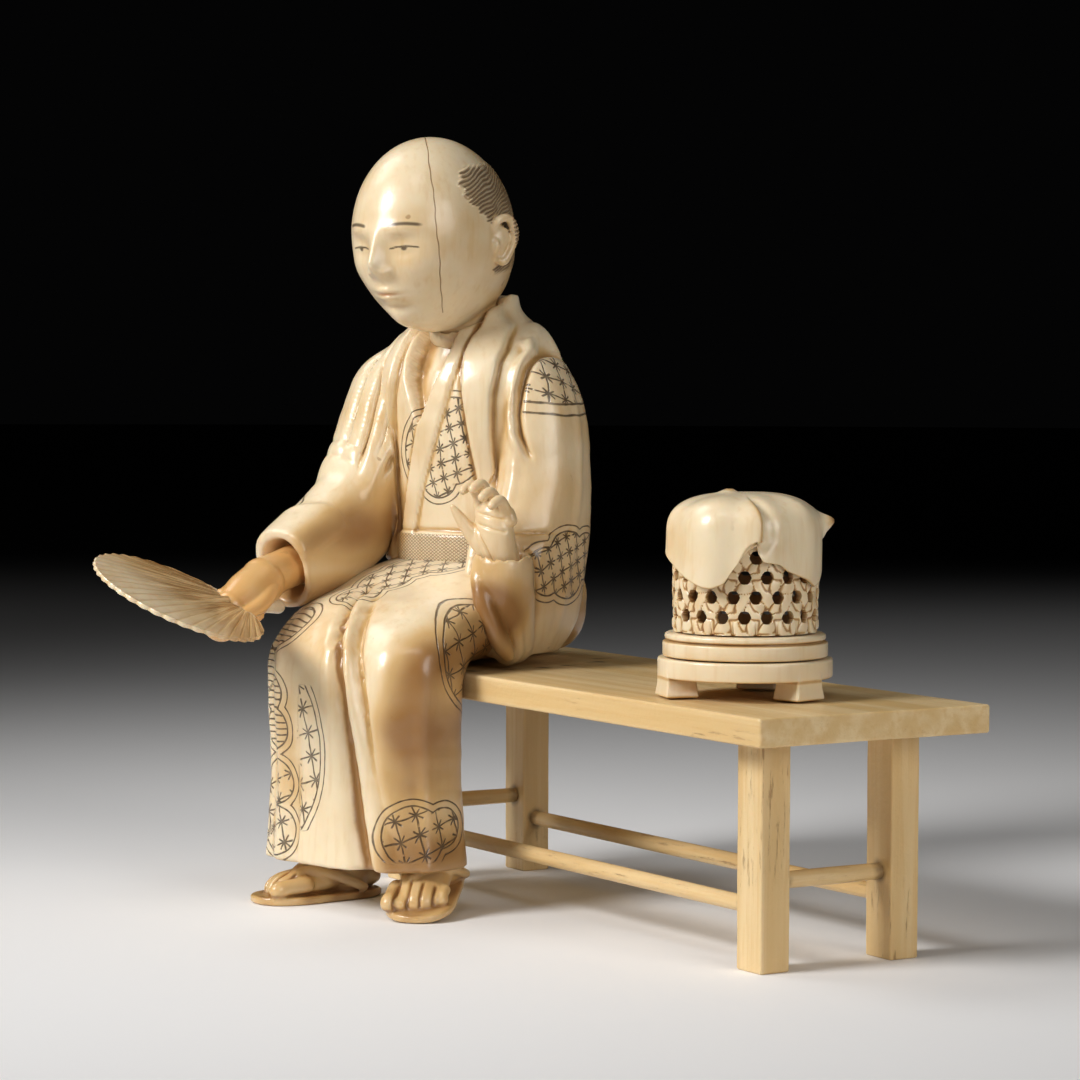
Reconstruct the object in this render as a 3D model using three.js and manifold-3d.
// Okimono: a carved ivory figure that sits on a bench, with a fan in the right hand and a small
// woven cage beside it. Millimetres, +Z up. The bench runs along X and its long front side faces -Y.
import * as THREE from 'three';
import { mergeVertices } from 'three/addons/utils/BufferGeometryUtils.js';
import Module from 'manifold-3d';

const wasm = await Module();
wasm.setup();

// Clearance between pieces that touch, and how far a tenon, neck, wrist or ankle goes in
const gap = 0.3;
const tenonDepth = 2.2;
const socketDepth = 4;

// Bench
const benchLength = 158.6;
const benchWidth = 52.4;
const benchHeight = 48;
const plankThickness = 5.3;
const plankEdgeBevel = 0.5;
const legAlong = 7.8;
const legAcross = 6.6;
const legInsetAlong = 10.5;
const legInsetAcross = 8.1;
const rungDiameter = 3.3;
const longRungHeight = 11.5;
const endRungHeight = 16.3;
const rungSides = 8;

// Figure: the crown's height above the bench, the turn of the body and the place of its middle
const sittingHeight = 109;
const bodyTurn = THREE.MathUtils.degToRad(22);
const seatFromEnd = 23.6;
const seatFromFront = 22;
const headBend = THREE.MathUtils.degToRad(8);
const hemHeight = 9.2;
const soleThickness = 1.7;
const leftHeelLift = THREE.MathUtils.degToRad(12);

// Fan
const fanLength = 38;
const fanWidth = 35;
const fanThickness = 1.2;
const fanRibs = 13;
const handleDiameter = 3;
const handleLength = 15;

// Cage on its stand
const cageFromEnd = 35;
const cageFromFront = 21.6;
const cageDiameter = 27.6;
const cageWall = 1.4;
const cageHeight = 18;
const cageHoles = 20;
const cageRows = 4;
const cageHoleWidth = 2.6;
const cageRowPitch = 3.7;
const cageFirstRow = 3.3;
const coverThickness = 0.9;
const coverCrown = 8.4;
const coverFlap = 9.5;
const baseDiameter = 31.6;
const baseThickness = 4.4;
const standDiameter = 33;
const standThickness = 3.6;
const standFeet = 3;
const standFootHeight = 3.6;
const standFootWidth = 7;
const standFootDepth = 5.5;
const standTurn = THREE.MathUtils.degToRad(133);
const standSides = 18;

// The figure's own unit: all its proportions are shares of the sitting height
const unit = sittingHeight / 109;
const seatTop = benchHeight + gap;

const materials = {
  ivory: new THREE.MeshStandardMaterial({ color: 0xe6d3ab, roughness: 0.35, metalness: 0 }),
  stainedIvory: new THREE.MeshStandardMaterial({ color: 0xc9924f, roughness: 0.38, metalness: 0 }),
  bench: new THREE.MeshStandardMaterial({ color: 0xcfb184, roughness: 0.5, metalness: 0 }),
};

// A closed mesh as a solid for joining and cutting
function solidOf(geometry) {
  const bare = geometry.clone();
  for (const name of Object.keys(bare.attributes)) {
    if (name !== 'position') bare.deleteAttribute(name);
  }
  const merged = mergeVertices(bare, 1e-4);
  return new wasm.Manifold(new wasm.Mesh({
    numProp: 3,
    vertProperties: new Float32Array(merged.attributes.position.array),
    triVerts: new Uint32Array(merged.index.array),
  }));
}

function geometryOf(solid) {
  const mesh = solid.getMesh();
  const geometry = new THREE.BufferGeometry();
  geometry.setAttribute('position', new THREE.BufferAttribute(new Float32Array(mesh.vertProperties), 3));
  geometry.setIndex(new THREE.BufferAttribute(new Uint32Array(mesh.triVerts), 1));
  geometry.computeVertexNormals();
  return geometry;
}

// One body through a stack of rings with equal point counts, closed with a fan at each end
function loft(rings) {
  const count = rings[0].length;
  const positions = [];
  const faces = [];
  for (const ring of rings) {
    for (const point of ring) positions.push(point.x, point.y, point.z);
  }
  for (let i = 0; i + 1 < rings.length; i += 1) {
    for (let j = 0; j < count; j += 1) {
      const a = i * count + j;
      const b = i * count + (j + 1) % count;
      faces.push(a, b, b + count, a, b + count, a + count);
    }
  }
  for (const end of [0, rings.length - 1]) {
    const middle = new THREE.Vector3();
    for (const point of rings[end]) middle.add(point);
    middle.divideScalar(count);
    const centre = positions.length / 3;
    positions.push(middle.x, middle.y, middle.z);
    for (let j = 0; j < count; j += 1) {
      const a = end * count + j;
      const b = end * count + (j + 1) % count;
      if (end === 0) faces.push(centre, b, a);
      else faces.push(centre, a, b);
    }
  }
  const geometry = new THREE.BufferGeometry();
  geometry.setAttribute('position', new THREE.BufferAttribute(new Float32Array(positions), 3));
  geometry.setIndex(faces);
  const solid = solidOf(geometry);
  if (solid.volume() < 0) {
    for (let i = 0; i < faces.length; i += 3) faces.splice(i, 3, faces[i], faces[i + 2], faces[i + 1]);
    geometry.setIndex(faces);
    return solidOf(geometry);
  }
  return solid;
}

function joined(solids) {
  return solids.reduce((sum, next) => sum.add(next));
}

// Smooth rows between key rows of numbers, with a Catmull-Rom curve through each column
function smoothRows(keys, steps) {
  const last = keys.length - 1;
  const rows = [];
  for (let i = 0; i <= steps; i += 1) {
    const t = (i / steps) * last;
    const k = Math.min(Math.floor(t), last - 1);
    const s = t - k;
    rows.push(keys[0].map((_, c) => {
      const p = [k - 1, k, k + 1, k + 2].map((n) => keys[Math.min(Math.max(n, 0), last)][c]);
      const a = 2 * p[1];
      const b = p[2] - p[0];
      const d = 2 * p[0] - 5 * p[1] + 4 * p[2] - p[3];
      const e = 3 * p[1] - p[0] - 3 * p[2] + p[3];
      return (a + b * s + d * s * s + e * s * s * s) / 2;
    }));
  }
  return rows;
}

// Superellipse of power n at angle t, as the two shares of its radii
function squircle(t, n) {
  const c = Math.cos(t);
  const s = Math.sin(t);
  return [Math.sign(c) * Math.abs(c) ** (2 / n), Math.sign(s) * Math.abs(s) ** (2 / n)];
}

const bump = (x, middle, width) => Math.exp(-(((x - middle) / width) ** 2));

// A tube of round sections along a smooth line of points, with rounded ends.
// Each key is [x, y, z, radius].
function limb(keys, sides, steps, grow = 0, flat = 1) {
  const rows = smoothRows(keys, steps);
  const points = rows.map((r) => new THREE.Vector3(r[0], r[1], r[2]));
  const rings = [];
  const side = new THREE.Vector3();
  const up = new THREE.Vector3();
  const ring = (centre, radius) => {
    const made = [];
    for (let j = 0; j < sides; j += 1) {
      const t = (j / sides) * 2 * Math.PI;
      made.push(centre.clone().addScaledVector(side, radius * Math.cos(t))
        .addScaledVector(up, radius * flat * Math.sin(t)));
    }
    return made;
  };
  points.forEach((point, i) => {
    const before = points[Math.max(i - 1, 0)];
    const after = points[Math.min(i + 1, points.length - 1)];
    const along = after.clone().sub(before).normalize();
    if (i === 0) {
      const guide = Math.abs(along.x) < 0.9 ? new THREE.Vector3(1, 0, 0) : new THREE.Vector3(0, 1, 0);
      side.copy(guide);
    }
    side.addScaledVector(along, -side.dot(along)).normalize();
    up.crossVectors(along, side);
    const radius = rows[i][3] + grow;
    if (i === 0) rings.push(ring(point.clone().addScaledVector(along, -0.6 * radius), radius * 0.7));
    rings.push(ring(point, radius));
    if (i === points.length - 1) {
      rings.push(ring(point.clone().addScaledVector(along, 0.6 * radius), radius * 0.7));
    }
  });
  return loft(rings);
}

function place(solid, turn, position) {
  const matrix = new THREE.Matrix4().makeRotationFromEuler(turn);
  matrix.setPosition(position);
  return solid.transform(matrix.elements);
}

function boxSolid(width, depth, height, x, y, z) {
  return solidOf(new THREE.BoxGeometry(width, depth, height).translate(x, y, z));
}

const root = new THREE.Group();
const benchGroup = new THREE.Group();
const figureGroup = new THREE.Group();
const cageGroup = new THREE.Group();
root.add(benchGroup, figureGroup, cageGroup);
figureGroup.position.set(seatFromEnd, seatFromFront, 0);
figureGroup.rotation.z = bodyTurn;
cageGroup.position.set(benchLength - cageFromEnd, cageFromFront, benchHeight + gap);

function addPiece(group, name, solid, material) {
  const mesh = new THREE.Mesh(geometryOf(solid), material);
  mesh.name = name;
  group.add(mesh);
}

// Bench plank with bevelled long edges, its top at the bench height
function plankOutline(grow) {
  const w = benchWidth / 2 + grow;
  const h = plankThickness / 2 + grow;
  const b = plankEdgeBevel;
  const outline = new THREE.Shape();
  outline.moveTo(-w + b, -h);
  outline.lineTo(w - b, -h);
  outline.lineTo(w, -h + b);
  outline.lineTo(w, h - b);
  outline.lineTo(w - b, h);
  outline.lineTo(-w + b, h);
  outline.lineTo(-w, h - b);
  outline.lineTo(-w, -h + b);
  outline.closePath();
  return outline;
}

function plank(grow = 0) {
  const length = benchLength + 2 * grow;
  const geometry = new THREE.ExtrudeGeometry(plankOutline(grow), { depth: length, bevelEnabled: false });
  geometry.translate(0, 0, -length / 2).rotateX(Math.PI / 2).rotateZ(Math.PI / 2);
  geometry.translate(benchLength / 2, benchWidth / 2, benchHeight - plankThickness / 2);
  return solidOf(geometry);
}

// A round rung between two legs, its ends in their mortises
function rung(from, to, grow = 0) {
  const along = to.clone().sub(from);
  const length = along.length();
  const radius = rungDiameter / 2 + grow;
  const geometry = new THREE.CylinderGeometry(radius, radius, length + 2 * grow, rungSides);
  const turn = new THREE.Quaternion().setFromUnitVectors(new THREE.Vector3(0, 1, 0), along.normalize());
  geometry.applyQuaternion(turn);
  const middle = from.clone().add(to).multiplyScalar(0.5);
  geometry.translate(middle.x, middle.y, middle.z);
  return solidOf(geometry);
}

function buildBench() {
  addPiece(benchGroup, 'bench_top', plank(), materials.bench);
  const near = legInsetAlong + legAlong / 2;
  const side = legInsetAcross + legAcross / 2;
  const legX = { left: near, right: benchLength - near };
  const legY = { front: side, back: benchWidth - side };
  const inLong = legAlong / 2 - tenonDepth;
  const inEnd = legAcross / 2 - tenonDepth;
  const rungs = {};
  for (const row of ['front', 'back']) {
    rungs[`rung_${row}`] = [
      new THREE.Vector3(legX.left + inLong, legY[row], longRungHeight),
      new THREE.Vector3(legX.right - inLong, legY[row], longRungHeight)];
  }
  for (const end of ['left', 'right']) {
    rungs[`rung_${end}`] = [
      new THREE.Vector3(legX[end], legY.front + inEnd, endRungHeight),
      new THREE.Vector3(legX[end], legY.back - inEnd, endRungHeight)];
  }
  for (const [name, ends] of Object.entries(rungs)) {
    addPiece(benchGroup, name, rung(ends[0], ends[1]), materials.bench);
  }
  const legTall = benchHeight - plankThickness - gap;
  for (const end of ['left', 'right']) {
    for (const row of ['front', 'back']) {
      let leg = boxSolid(legAlong, legAcross, legTall, legX[end], legY[row], legTall / 2);
      for (const name of [`rung_${row}`, `rung_${end}`]) {
        leg = leg.subtract(rung(rungs[name][0], rungs[name][1], gap));
      }
      addPiece(benchGroup, `leg_${row}_${end}`, leg, materials.bench);
    }
  }
}

// The figure's frame: x to its left, y to its back, z up from the floor, origin under the seat.
// Heights above the bench are shares of the sitting height; forward distances are -y.
const above = (share) => seatTop + share * unit;

// The robe's lower part is one sheet of sections. A section runs from an inner point at the seat
// or behind the legs to an outer point on the lap, knee or shin. Each key row is
// [inner forward, inner height, outer forward, outer height, half width, sideways shift].
function robeKeys() {
  const under = seatTop;
  const knee = under - 2.5 * unit;
  const shin = under - hemHeight;
  const f = (value) => value * unit;
  return [
    [f(-16.5), under, f(-18), above(17), f(14.5), 0],
    [f(-13.5), under, f(-15), above(21.9), f(19), 0],
    [f(-4), under, f(-4), above(21.9), f(20.5), 0],
    [f(8), under, f(9), above(21.9), f(21), 0],
    [f(18), under, f(19), above(20.2), f(21.5), f(0.8)],
    [f(25), under, f(30), above(16.2), f(22), f(1.5)],
    [f(28.5), under - f(0.6), f(41.5), above(12.2), f(22), f(2.2)],
    [f(29.3), knee, f(50.5), above(4.5), f(22), f(2.6)],
    [f(29.5), hemHeight + shin * 0.8, f(52), hemHeight + shin * 0.8, f(21.6), f(2.8)],
    [f(29.5), hemHeight + shin * 0.5, f(51.8), hemHeight + shin * 0.5, f(21.2), f(3)],
    [f(29.3), hemHeight + shin * 0.2, f(52.4), hemHeight + shin * 0.2, f(21.8), f(3.2)],
    [f(29), hemHeight, f(53), hemHeight, f(22.4), f(3.4)],
  ];
}

// A line through [x, y] pairs, read at x
function lineAt(x, pairs) {
  let i = 0;
  while (i + 2 < pairs.length && x > pairs[i + 1][0]) i += 1;
  const [a, b] = [pairs[i], pairs[i + 1]];
  const share = THREE.MathUtils.clamp((x - a[0]) / (b[0] - a[0]), 0, 1);
  return a[1] + (b[1] - a[1]) * share;
}

// Middle of the deep fold between the knees and of the short one beside it: [along, side] pairs
const deepFold = [[0.42, -0.3], [0.545, -0.145], [0.636, 0.08], [0.727, 0.17], [0.818, 0.25],
  [0.909, 0.33], [1, 0.41]];
const shortFold = [[0.5, 0], [0.545, 0.09], [0.636, 0.28], [0.727, 0.42], [0.8, 0.5]];

// Hang of the cloth at a place round the robe (side from -1 right to 1 left on the outer face)
// and along it (0 at the back of the seat, 1 at the hem): depth in or out, in millimetres
function robeFold(side, along, outer) {
  if (outer <= 0) return 0;
  const step = THREE.MathUtils.smoothstep;
  const fall = step(along, 0.45, 0.75);
  const lap = step(along, 0.4, 0.58);
  const middle = lineAt(along, deepFold);
  const width = 0.09 + 0.1 * step(along, 0.55, 1);
  let depth = -(2.6 + 1.7 * step(along, 0.7, 1)) * lap * bump(side, middle, width);
  depth += 0.9 * fall * bump(side, middle - 2.3 * width, 1.2 * width);
  depth += 0.8 * fall * bump(side, middle + 2.4 * width, 1.3 * width);
  const short = step(along, 0.5, 0.56) * (1 - step(along, 0.66, 0.82));
  depth -= 1.3 * short * bump(side, lineAt(along, shortFold), 0.08);
  depth -= 1.1 * fall * bump(side, -0.8, 0.09);
  depth += 0.8 * fall * bump(side, -0.64, 0.1);
  return depth * outer * unit;
}

const robeSteps = 17;
const robeSides = 22;

function robe(grow = 0) {
  const rings = smoothRows(robeKeys(), robeSteps).map((row, i) => {
    const [innerF, innerZ, outerF, outerZ, half, shift] = row;
    const inner = new THREE.Vector3(shift, -innerF, innerZ);
    const outward = new THREE.Vector3(shift, -outerF, outerZ).sub(inner);
    const thick = outward.length() / 2 + grow;
    outward.normalize();
    const centre = inner.addScaledVector(outward, thick - grow);
    const ring = [];
    for (let j = 0; j < robeSides; j += 1) {
      const [c, s] = squircle((j / robeSides) * 2 * Math.PI, 2.9);
      const push = robeFold(c, i / robeSteps, Math.max(s, 0));
      const point = centre.clone().addScaledVector(outward, s * thick + push);
      point.x += c * (half + grow);
      ring.push(point);
    }
    return ring;
  });
  return loft(rings);
}

// Coat and upper body: key rows of [height above the seat, half width, front, back]
const torsoSteps = 10;
const torsoSides = 20;

// The collar dips to the throat from this height up, by this share
const collarFoot = 62;
const collarDip = 0.6;

function torsoFold(t, z) {
  const front = Math.max(-Math.sin(t), 0);
  const x = Math.cos(t);
  const open = THREE.MathUtils.clamp((z - 20) / 54, 0, 1);
  const edge = 0.16 + 0.34 * open;
  let depth = 1.3 * front * (bump(x, edge + 0.1, 0.12) + bump(x, -edge - 0.1, 0.12));
  depth -= 1.7 * front * bump(x, 0, edge * 0.75);
  depth += 0.8 * front * bump(z, 24, 2.2);
  depth -= 0.7 * front * bump(z, 27.5, 1.2);
  return depth * unit;
}

function torso() {
  const keys = [
    [22, 17.5, 15.5, 14.5],
    [30, 17.6, 15.4, 15.2],
    [40, 18.6, 16, 15.6],
    [50, 20.2, 16.2, 15],
    [58, 21.2, 15.4, 13.8],
    [63.5, 19.8, 14, 11.6],
    [69, 15.6, 12.8, 9],
    [73, 11, 12.4, 7],
    [76.6, 9.6, 11.6, 6.6],
  ];
  const rings = smoothRows(keys, torsoSteps).map((row) => {
    const [z, half, front, back] = row;
    const ring = [];
    for (let j = 0; j < torsoSides; j += 1) {
      const t = (j / torsoSides) * 2 * Math.PI;
      const [c, s] = squircle(t, 2.4);
      const fold = 1 + torsoFold(t, z) / (front * unit);
      const reach = s < 0 ? front * fold : back;
      const dip = collarDip * Math.max(z - collarFoot, 0) * Math.max(-s, 0);
      ring.push(new THREE.Vector3(c * half * unit, s * reach * unit, above(z - dip)));
    }
    return ring;
  });
  return loft(rings);
}

// A sleeve as sections across a smooth line. Key rows: [left, forward, height above the seat,
// half width across, half height, forward tilt of the section in degrees]
const sleeveSides = 10;

function sleeve(keys, steps, fold, grow = 0) {
  const rings = smoothRows(keys, steps).map((row, i) => {
    const [left, forward, height, across, tall, tilt] = row;
    const angle = THREE.MathUtils.degToRad(tilt);
    const upward = new THREE.Vector3(0, -Math.cos(angle), Math.sin(angle));
    const ring = [];
    for (let j = 0; j < sleeveSides; j += 1) {
      const t = (j / sleeveSides) * 2 * Math.PI;
      const [c, s] = squircle(t, 2.3);
      const depth = 1 + fold(t, i / steps);
      const point = new THREE.Vector3(left * unit, -forward * unit, above(height));
      point.x += c * (across * unit * depth + grow);
      point.addScaledVector(upward, s * (tall * unit * depth + grow));
      ring.push(point);
    }
    return ring;
  });
  return loft(rings);
}

// The left sleeve hangs from the shoulder to the seat, with its cuff at the front
function leftSleeve() {
  const keys = [
    [14.5, 1, 66.5, 3.5, 5, 0],
    [15.8, 0.6, 60.8, 6.6, 8.2, 0],
    [17.8, 0.8, 52, 8.4, 10, 0],
    [18.7, 1.6, 39, 8.9, 11.2, 0],
    [19.3, 4.4, 27, 8.9, 13.4, 0],
    [19.7, 7.6, 16, 8.4, 14.4, 0],
    [20.2, 9, 8, 7.2, 13.4, 0],
    [21, 11, 2.4, 4.6, 9.5, 0],
  ];
  const fold = (t, v) => -0.07 * v * Math.cos(5 * t + 1.2) - 0.05 * bump(v, 0.45, 0.06);
  return sleeve(keys, 8, fold);
}

// The right sleeve reaches forward over the thigh to a wide cuff
function rightSleeve() {
  const keys = [
    [-13.5, 0, 66, 4, 6, 0],
    [-16.4, 2, 59, 7.8, 9.4, 12],
    [-17.4, 5.5, 49, 8.5, 10.6, 28],
    [-17.8, 11, 37.5, 8.6, 11.2, 44],
    [-18.8, 19.4, 28.6, 8.2, 10.8, 58],
    [-19.6, 29.8, 22.8, 7.6, 9.8, 67],
    [-19.8, 39.5, 19, 6.7, 8.2, 74],
  ];
  const fold = (t, v) => -0.09 * bump(v, 0.5, 0.05) - 0.08 * bump(v, 0.66, 0.05)
    - 0.06 * bump(v, 0.82, 0.05) - 0.03 * Math.cos(4 * t);
  return sleeve(keys, 8, fold);
}

// Head in its own frame: face to -Y, origin at the middle of the skull
const headSides = 18;
const headSteps = 13;
const headHalfWidth = 15.4;
const headHalfLength = 18.8;
const headHalfHeight = 20.2;

function headPoint(t, phi) {
  const [c, s] = [Math.cos(t), Math.sin(t)];
  const z = Math.sin(phi);
  const wide = Math.cos(phi);
  const face = Math.max(-s, 0);
  const back = Math.max(s, 0);
  let x = c * wide * headHalfWidth;
  let y = s * wide * headHalfLength;
  const low = THREE.MathUtils.smoothstep(-z, 0.1, 1);
  x *= 1 - 0.12 * low + 0.04 * back * wide;
  y += back * wide * 7.5 * low;
  const sideways = Math.abs(x);
  let push = 0;
  push += 3.4 * bump(sideways, 0, 1.9) * bump(z, -0.2, 0.16);
  push += 1.5 * bump(sideways, 0, 1.5) * bump(z, -0.02, 0.16);
  push += 0.6 * bump(sideways, 5.5, 3.6) * bump(z, 0.16, 0.07);
  push -= 1.5 * bump(sideways, 5.6, 2.6) * bump(z, -0.03, 0.09);
  push += 0.55 * bump(sideways, 5.6, 2) * bump(z, -0.045, 0.05);
  push += 0.9 * bump(sideways, 8, 3.4) * bump(z, -0.27, 0.14);
  push += 1.2 * bump(sideways, 0, 4.2) * bump(z, -0.52, 0.1);
  push -= 0.7 * bump(sideways, 0, 3.6) * bump(z, -0.53, 0.025);
  push -= 0.8 * bump(sideways, 0, 4) * bump(z, -0.66, 0.05);
  push += 2.2 * bump(sideways, 0, 4.2) * bump(z, -0.83, 0.14);
  y -= push * face ** 2;
  return new THREE.Vector3(x, y, z * headHalfHeight).multiplyScalar(unit);
}

function ear(side) {
  const bowl = new THREE.SphereGeometry(1, 7, 5);
  bowl.scale(1.3 * unit, 2.6 * unit, 4.2 * unit);
  bowl.rotateX(0.2).rotateZ(side * 0.35);
  bowl.translate(side * (headHalfWidth - 0.2) * unit, 2.6 * unit, -1.6 * unit);
  const dish = new THREE.SphereGeometry(1, 5, 3);
  dish.scale(0.8 * unit, 1.4 * unit, 2.6 * unit);
  dish.translate(side * (headHalfWidth + 1.1) * unit, 2 * unit, -1.2 * unit);
  return solidOf(bowl).subtract(solidOf(dish));
}

const headForward = 14.8;
const headHeight = 88.8;

function neck(grow = 0) {
  return limb([
    [0, -8.5 * unit, above(80), 7.4 * unit],
    [0, -5.5 * unit, above(76), 7.2 * unit],
    [0, -3.6 * unit, above(72), 7.3 * unit]], 14, 3, grow);
}

function skull(grow = 0) {
  const rings = [];
  for (let i = 0; i <= headSteps; i += 1) {
    const phi = -Math.PI / 2 + ((i + 0.35) / (headSteps + 0.7)) * Math.PI;
    const ring = [];
    for (let j = 0; j < headSides; j += 1) {
      const point = headPoint((j / headSides) * 2 * Math.PI, phi);
      ring.push(point.setLength(point.length() + grow));
    }
    rings.push(ring);
  }
  return loft(rings);
}

function placedHead(shape) {
  const middle = new THREE.Vector3(0, -headForward * unit, above(headHeight));
  return place(shape, new THREE.Euler(headBend, 0, 0), middle);
}

function buildHead() {
  const head = placedHead(joined([skull(), ear(1), ear(-1)])).add(neck());
  addPiece(figureGroup, 'head', head, materials.ivory);
}

// Fan in its own frame: the handle's grip at the origin, the leaf out along -Y, its face up.
// Ribs spread over the leaf and end in small teeth.
const fanTooth = 0.35;
const fanRibRise = 0.25;

function fan(grow = 0) {
  const reach = handleLength * 0.55;
  const middle = -fanLength / 2 - reach;
  const sides = fanRibs * 2;
  const ringAt = (share, height, ribbed) => {
    const ring = [];
    for (let j = 0; j < sides; j += 1) {
      const t = (j / sides) * 2 * Math.PI;
      const onRib = j % 2 === 0;
      const tooth = (onRib ? fanTooth : 0) + grow;
      const x = share * (fanWidth / 2 + tooth) * Math.cos(t);
      const y = middle + share * (fanLength / 2 + tooth) * Math.sin(t);
      ring.push(new THREE.Vector3(x, y, height + (ribbed && onRib ? fanRibRise : 0)));
    }
    return ring;
  };
  const edge = fanThickness * 0.3 + grow;
  const body = fanThickness * 0.5 + grow;
  const leaf = loft([ringAt(0.5, -body, false), ringAt(1, -edge, false), ringAt(1, edge, true),
    ringAt(0.5, body, false)]);
  const radius = handleDiameter / 2;
  const handle = limb([
    [0, handleLength * 0.45, 0, radius],
    [0, -2, 0, radius],
    [0, -reach - 7, 0, radius * 0.75]], 6, 2, grow);
  return leaf.add(handle);
}

const fanPlace = new THREE.Vector3(-18.6, -48.5, 12.6);
const fanTilt = new THREE.Euler(-0.14, 0.45, 0.03, 'YXZ');

function placedFan(grow = 0) {
  const at = new THREE.Vector3(fanPlace.x * unit, fanPlace.y * unit, above(fanPlace.z));
  return place(fan(grow), fanTilt, at);
}

// Right hand in the figure's frame, closed round the fan's handle
function rightHand(grow = 0) {
  const p = (x, f, z, r) => [x * unit, -f * unit, above(z), r * unit];
  const wristLine = [p(-20.4, 33, 20.6, 4.1), p(-19.6, 41, 19, 3.9), p(-19.2, 47, 17.4, 4.4)];
  const wrist = limb(wristLine, 8, 3, grow, 1.1);
  if (grow > 0) return wrist;
  const parts = [wrist];
  parts.push(limb([p(-18.8, 47.5, 17, 4.8), p(-18.6, 53, 14.6, 4.6), p(-18.4, 57.5, 12.8, 3.4)], 7, 2));
  parts.push(limb([p(-20, 49.5, 13.4, 4), p(-20, 53.5, 12, 3.8), p(-20, 57.5, 10.6, 3.2)], 6, 2));
  for (let i = 0; i < 4; i += 1) {
    const f = 49.5 + 2.7 * i;
    const z = 16.4 - 0.95 * i;
    const finger = [p(-22.4, f, z + 0.2, 1.6), p(-23.6, f + 0.9, z - 3.2, 1.5),
      p(-20.6, f + 1.1, z - 6.6, 1.4), p(-17.4, f + 0.5, z - 5.8, 1.25)];
    parts.push(limb(finger, 4, 3));
  }
  parts.push(limb([p(-15.6, 49, 15.6, 2), p(-14, 54, 12.6, 1.7), p(-14.8, 58.5, 11, 1.4)], 6, 3));
  return joined(parts);
}

// Left hand, raised with the palm open and the fingers half curled
function leftHand(grow = 0) {
  const p = (x, f, z, r) => [x * unit, -f * unit, above(z), r * unit];
  const wrist = limb([p(25, 13, 19.2, 3), p(24.4, 18, 20.4, 3.6), p(24, 22.6, 22.6, 3.8)], 8, 3, grow);
  if (grow > 0) return wrist;
  const parts = [wrist];
  parts.push(limb([p(24, 23.2, 22.5, 4.2), p(23.6, 24.4, 27, 4.8), p(23.2, 24.6, 31, 4.3)], 8, 3, 0, 0.78));
  for (let i = 0; i < 4; i += 1) {
    const x = 19.8 + 2.4 * i;
    const drop = 1.5 * Math.abs(i - 1.3);
    parts.push(limb([p(x, 24.4, 31, 1.6), p(x + 0.1, 24.8, 36 - drop, 1.5), p(x + 0.2, 27.6, 39 - drop, 1.35),
      p(x + 0.1, 30.2, 37.6 - drop, 1.2)], 4, 3));
  }
  parts.push(limb([p(20.6, 23.6, 24, 2), p(18.2, 26.6, 28, 1.7), p(17, 28.6, 31.4, 1.4)], 6, 3));
  return joined(parts);
}

// A foot on its sandal, in its own frame: sole down on z = 0, toes to -Y, origin under the ankle.
// side is 1 for the left foot and -1 for the right.
const footLength = 28.5;
const footWidth = 12.6;
const footRise = 6.8;

function solePlate(thickness, grow = 0) {
  const half = footWidth / 2 + grow;
  const back = footLength * 0.3 + grow;
  const front = -footLength * 0.7 - grow;
  const outline = new THREE.Shape();
  outline.moveTo(0, back);
  outline.bezierCurveTo(half * 1.1, back, half * 0.9, 0, half * 1.12, front * 0.5);
  outline.bezierCurveTo(half * 1.25, front * 0.95, half * 0.5, front * 1.04, 0, front * 1.03);
  outline.bezierCurveTo(-half * 0.7, front * 1.02, -half * 1.2, front * 0.85, -half * 1.08, front * 0.45);
  outline.bezierCurveTo(-half * 0.9, 0, -half * 1.1, back, 0, back);
  const plate = { depth: thickness, bevelEnabled: false, curveSegments: 4 };
  return solidOf(new THREE.ExtrudeGeometry(outline, plate));
}

function foot(side) {
  const half = footWidth / 2;
  const back = footLength * 0.3;
  const front = -footLength * 0.7;
  const parts = [solePlate(soleThickness)];
  const z = soleThickness;
  parts.push(limb([
    [0, back * 0.55, z + 2.6, 4],
    [0, 0, z + 3, 4.6],
    [0, front * 0.3, z + 2.4, 5],
    [0, front * 0.62, z + 1.3, 5.2]], 7, 3, 0, 0.62));
  for (let i = 0; i < 5; i += 1) {
    const x = side * (half * 0.78 - i * half * 0.39) * -1;
    const tip = front * (0.97 - 0.055 * i);
    const radius = i === 0 ? 1.75 : 1.25;
    parts.push(limb([
      [x, front * 0.55, z + 1.9, radius],
      [x, tip + radius, z + radius * 0.8, radius]], 4, 1));
  }
  parts.push(limb([
    [-side * half * 0.42, front * 0.74, z + 2.2, 0.8],
    [-side * half * 0.1, front * 0.5, z + 5.2, 1.1],
    [side * half * 0.75, front * 0.2, z + 4, 1.1],
    [side * half * 0.98, back * 0.2, z + 1, 1]], 4, 3));
  parts.push(limb([
    [-side * half * 0.42, front * 0.74, z + 2.2, 0.8],
    [-side * half * 0.5, front * 0.5, z + 5, 1.1],
    [-side * half * 0.85, front * 0.2, z + 3.4, 1.1],
    [-side * half * 0.98, back * 0.2, z + 1, 1]], 4, 3));
  return joined(parts);
}

const feet = {
  right: { side: -1, x: -8.5, forward: 34, turn: -22, lift: 0 },
  left: { side: 1, x: 16.5, forward: 35, turn: 24, lift: 1 },
};

function ankle(spot, grow = 0) {
  const x = spot.x * unit;
  const y = -spot.forward * unit;
  const low = soleThickness + 3 * unit + spot.lift * 3.5;
  return limb([
    [x, y, low, 5.6 * unit],
    [x, y, (low + hemHeight) / 2, 5 * unit],
    [x, y, hemHeight + socketDepth * 0.5, 5.2 * unit]], 8, 1, grow);
}

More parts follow.
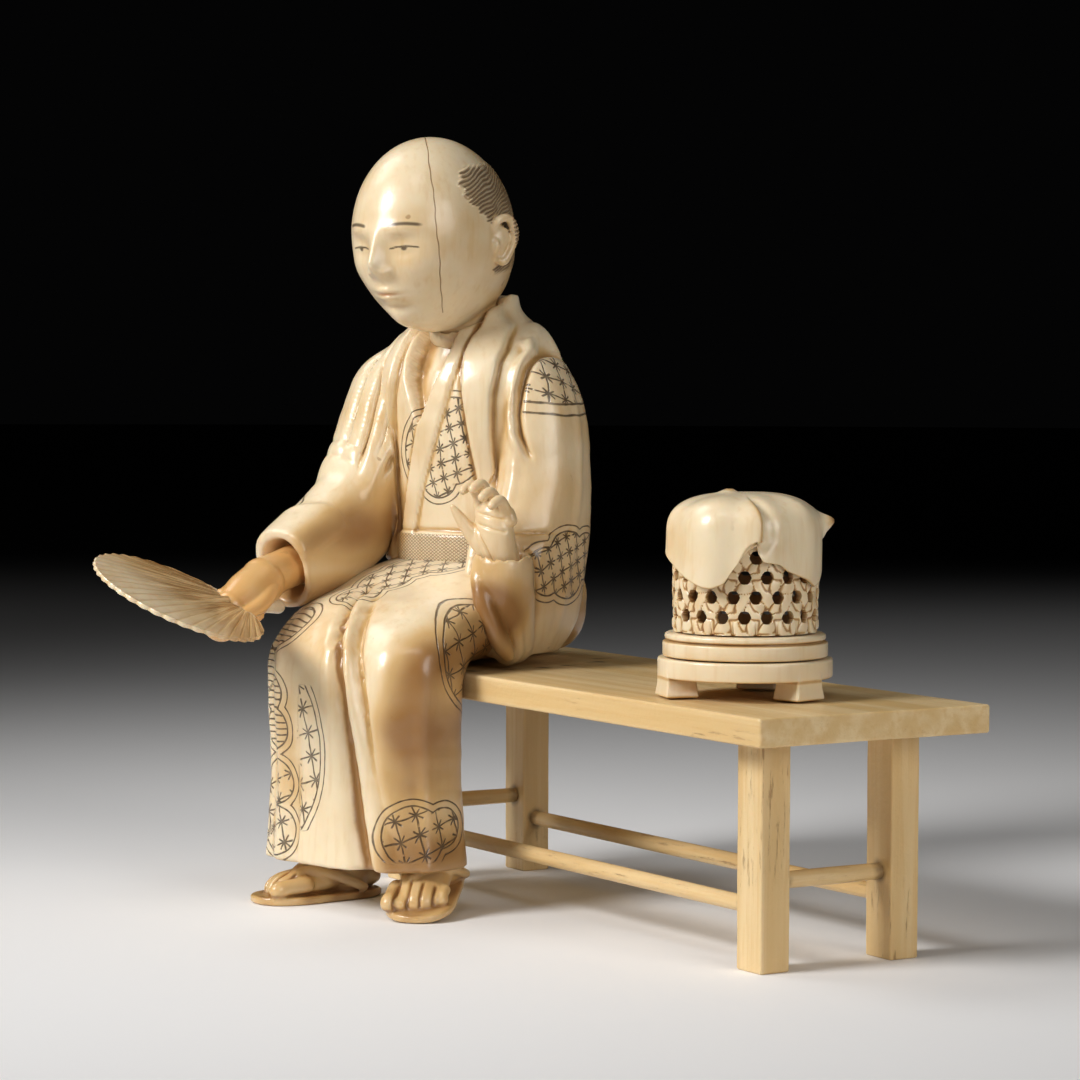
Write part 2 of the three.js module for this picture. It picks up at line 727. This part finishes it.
// The room that a foot with its straps takes up under the hem
function footRoom(spot) {
  return onSandal(solePlate(soleThickness + footRise, gap), spot);
}

function placedFoot(spot) {
  return onSandal(foot(spot.side), spot);
}

function onSandal(shape, spot) {
  const turn = THREE.MathUtils.degToRad(spot.turn);
  const tip = spot.lift * leftHeelLift;
  const base = new THREE.Vector3(spot.x * unit, -spot.forward * unit, 0);
  const toe = new THREE.Vector3(0, -footLength * 0.7, 0);
  const tipped = toe.clone().applyAxisAngle(new THREE.Vector3(1, 0, 0), tip);
  base.z -= tipped.z;
  const tipUp = place(shape, new THREE.Euler(tip, 0, 0), new THREE.Vector3(0, 0, 0));
  return place(tipUp, new THREE.Euler(0, 0, turn), base);
}

function buildFeet() {
  for (const [name, spot] of Object.entries(feet)) {
    const whole = placedFoot(spot).add(ankle(spot));
    const floor = boxSolid(400, 400, 40, 0, 0, -20);
    addPiece(figureGroup, `${name}_foot`, whole.subtract(floor), materials.stainedIvory);
  }
}

// The plank seen from the figure's frame, for the robe that sits on it and hangs before it
function plankInFigure() {
  const back = new THREE.Matrix4().makeRotationZ(bodyTurn);
  back.setPosition(seatFromEnd, seatFromFront, 0);
  return plank(gap).transform(back.clone().invert().elements);
}

function buildFigure() {
  const waist = above(21.8);
  const wide = 300;
  const below = boxSolid(wide, wide, wide, 0, 0, waist - wide / 2);
  const belowGap = below.translate([0, 0, gap]);
  const plankTool = plankInFigure();
  let skirt = robe();
  skirt = skirt.intersect(below).subtract(plankTool);
  for (const spot of Object.values(feet)) skirt = skirt.subtract(ankle(spot, gap)).subtract(footRoom(spot));
  const chest = torso().subtract(belowGap);
  const arms = leftSleeve().add(rightSleeve());
  const upper = chest.add(arms.subtract(robe(gap).intersect(belowGap)));
  let coat = upper.subtract(plankTool).subtract(neck(gap)).subtract(placedHead(skull(gap)));
  coat = coat.subtract(rightHand(gap)).subtract(leftHand(gap));
  addPiece(figureGroup, 'robe_skirt', skirt, materials.ivory);
  addPiece(figureGroup, 'torso', coat, materials.ivory);
  addPiece(figureGroup, 'right_hand', rightHand().subtract(placedFan(gap)), materials.stainedIvory);
  addPiece(figureGroup, 'left_hand', leftHand(), materials.ivory);
  addPiece(figureGroup, 'fan', placedFan(), materials.ivory);
}

// Cage: a round wall with staggered six-sided holes
function cageTube() {
  const outer = cageDiameter / 2;
  const inner = outer - cageWall;
  const points = [[inner, 0], [outer, 0], [outer, cageHeight], [inner, cageHeight], [inner, 0]];
  const profile = points.map(([r, z]) => new THREE.Vector2(r, z));
  return solidOf(new THREE.LatheGeometry(profile, cageHoles).rotateX(Math.PI / 2));
}

function buildCage() {
  const floor = standFootHeight + standThickness + gap + baseThickness + gap;
  let wall = cageTube();
  const step = (2 * Math.PI) / cageHoles;
  for (let row = 0; row < cageRows; row += 1) {
    for (let i = 0; i < cageHoles; i += 1) {
      const turn = (i + (row % 2) / 2) * step;
      const hole = new THREE.CylinderGeometry(cageHoleWidth / 2, cageHoleWidth / 2, cageWall * 3, 6);
      hole.rotateZ(Math.PI / 2).translate(cageDiameter / 2 - cageWall / 2, 0, 0).rotateZ(turn);
      hole.translate(0, 0, cageFirstRow + row * cageRowPitch);
      wall = wall.subtract(solidOf(hole));
    }
  }
  addPiece(cageGroup, 'cage_wall', wall.translate([0, 0, floor]), materials.ivory);
  buildCageCover(floor + cageHeight + gap);
  buildCageStand();
}

// Leaf-like cover: a cap that stands on the wall's rim, its edge falling in uneven flaps
function buildCageCover(rim) {
  const sides = 20;
  const radius = cageDiameter / 2 + gap;
  const fall = (t) => {
    const flaps = bump(wrapped(t - 5.34), 0, 0.42) + 0.85 * bump(wrapped(t - 0.42), 0, 0.4)
      + 0.7 * bump(wrapped(t - 1.75), 0, 0.45) + 0.85 * bump(wrapped(t - 2.95), 0, 0.45)
      + 0.6 * bump(wrapped(t - 4.2), 0, 0.35);
    return gap + 1.2 + (coverFlap - 1.2) * Math.min(flaps, 1);
  };
  const ringAt = (share, height, swell, useFall) => {
    const ring = [];
    for (let j = 0; j < sides; j += 1) {
      const t = (j / sides) * 2 * Math.PI;
      const ripple = 1 + 0.035 * Math.cos(5 * t + 0.6) + 0.02 * Math.cos(9 * t);
      const r = radius * share * (useFall ? 1 : ripple) + swell;
      const z = useFall ? rim - fall(t) : rim + height;
      ring.push(new THREE.Vector3(r * Math.cos(t), r * Math.sin(t), z));
    }
    return ring;
  };
  const rings = [
    ringAt(0.3, 0, 0, false),
    ringAt(0.9, 0, 0, false),
    ringAt(1, 0.05, 0, true).map((p) => new THREE.Vector3(p.x, p.y, rim + 0.05)),
    ringAt(1, 0, 0, true),
    ringAt(1, 0, coverThickness, true),
    ringAt(1, 0.5, coverThickness * 0.9, false),
    ringAt(0.97, coverCrown * 0.5, coverThickness, false),
    ringAt(0.86, coverCrown * 0.84, 0, false),
    ringAt(0.6, coverCrown, 0, false),
    ringAt(0.25, coverCrown * 0.97, 0, false),
  ];
  addPiece(cageGroup, 'cage_cover', loft(rings), materials.ivory);
}

function wrapped(t) {
  return Math.atan2(Math.sin(t), Math.cos(t));
}

function buildCageStand() {
  const plateTop = standFootHeight + standThickness;
  const lathe = (points) => {
    const profile = points.map(([r, z]) => new THREE.Vector2(r, z));
    return solidOf(new THREE.LatheGeometry(profile, standSides).rotateX(Math.PI / 2));
  };
  const r = standDiameter / 2;
  const plate = lathe([[0, standFootHeight], [r - 0.6, standFootHeight], [r, standFootHeight + 0.5],
    [r, plateTop - 0.5], [r - 0.6, plateTop], [0, plateTop]]);
  const parts = [plate];
  for (let i = 0; i < standFeet; i += 1) {
    const block = new THREE.BoxGeometry(standFootDepth, standFootWidth, standFootHeight + 1);
    block.translate(r - standFootDepth / 2 - 0.3, 0, (standFootHeight + 1) / 2);
    block.rotateZ(standTurn + (i / standFeet) * 2 * Math.PI);
    parts.push(solidOf(block));
  }
  addPiece(cageGroup, 'cage_stand', joined(parts), materials.ivory);
  const low = plateTop + gap;
  const b = baseDiameter / 2;
  const waist = baseThickness * 0.62;
  const base = lathe([[0, low], [b - 0.4, low], [b, low + 0.4], [b, low + waist - 0.4],
    [b - 0.5, low + waist], [b - 0.9, low + waist + 0.1], [b - 0.4, low + waist + 0.5],
    [b - 0.4, low + baseThickness - 0.3], [b - 0.8, low + baseThickness], [0, low + baseThickness]]);
  addPiece(cageGroup, 'cage_base', base, materials.ivory);
}

buildBench();
buildFigure();
buildHead();
buildFeet();
buildCage();

// Origin on the floor under the middle of the whole object
root.updateMatrixWorld(true);
const box = new THREE.Box3().setFromObject(root, true);
const centre = box.getCenter(new THREE.Vector3());
root.position.set(-centre.x, -centre.y, -box.min.z);
root.updateMatrixWorld(true);

export default root;
